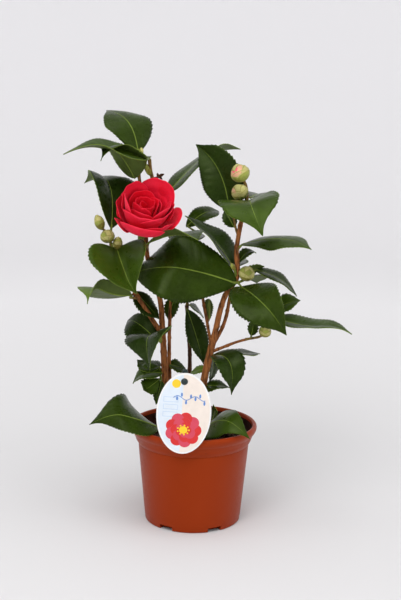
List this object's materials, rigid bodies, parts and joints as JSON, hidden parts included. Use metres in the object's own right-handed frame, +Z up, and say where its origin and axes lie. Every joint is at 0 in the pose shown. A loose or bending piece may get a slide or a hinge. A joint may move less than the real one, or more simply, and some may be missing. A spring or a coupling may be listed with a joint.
{
  "type": "potted camellia shrub",
  "caption": "Young camellia shrub with glossy leaves, an open double bloom and round buds, in a round plastic nursery pot.",
  "frame": {"origin": "centre of the pot's flat underside", "axes": "+X to the right as seen from the label side, +Y away from the viewer on the label side, +Z up"},
  "size_m": [0.3061, 0.1666, 0.4493],
  "materials": {
    "pot_plastic": "satin",
    "potting_mix": "rough",
    "bark": "rough",
    "foliage": "waxy gloss",
    "petals": "soft satin",
    "label_card": "gloss",
    "stake_plastic": "satin"
  },
  "bodies": {
    "root": {"bloom": "petals", "bough_left": "bark", "bough_right_inner": "bark", "bough_right_outer": "bark", "foliage_back_left": "foliage", "foliage_base_left": "foliage", "foliage_base_right": "foliage", "foliage_behind_bloom": "foliage", "foliage_centre": "foliage", "foliage_centre_back": "foliage", "foliage_foot_inner": "foliage", "foliage_foot_left": "foliage", "foliage_foot_right": "foliage", "foliage_foot_thin": "foliage", "foliage_inner": "foliage", "foliage_inner_left": "foliage", "foliage_inner_right": "foliage", "foliage_inner_top": "foliage", "foliage_left_low": "foliage", "foliage_left_tip": "foliage", "foliage_low_left": "foliage", "foliage_low_right": "foliage", "foliage_low_right_back": "foliage", "foliage_right_back": "foliage", "foliage_right_low": "foliage", "foliage_right_small": "foliage", "foliage_right_upper": "foliage", "foliage_top_left": "foliage", "foliage_top_right": "foliage", "foliage_under_bloom": "foliage", "foliage_upper_right": "foliage", "label_stake": "stake_plastic", "label_tag": "label_card", "leader_left": "bark", "leader_right": "bark", "pot": "pot_plastic", "side_branch": "bark", "soil": "potting_mix", "stem_left": "bark", "stem_left_thin": "bark", "stem_middle": "bark", "stem_right": "bark"}
  },
  "joints": []
}
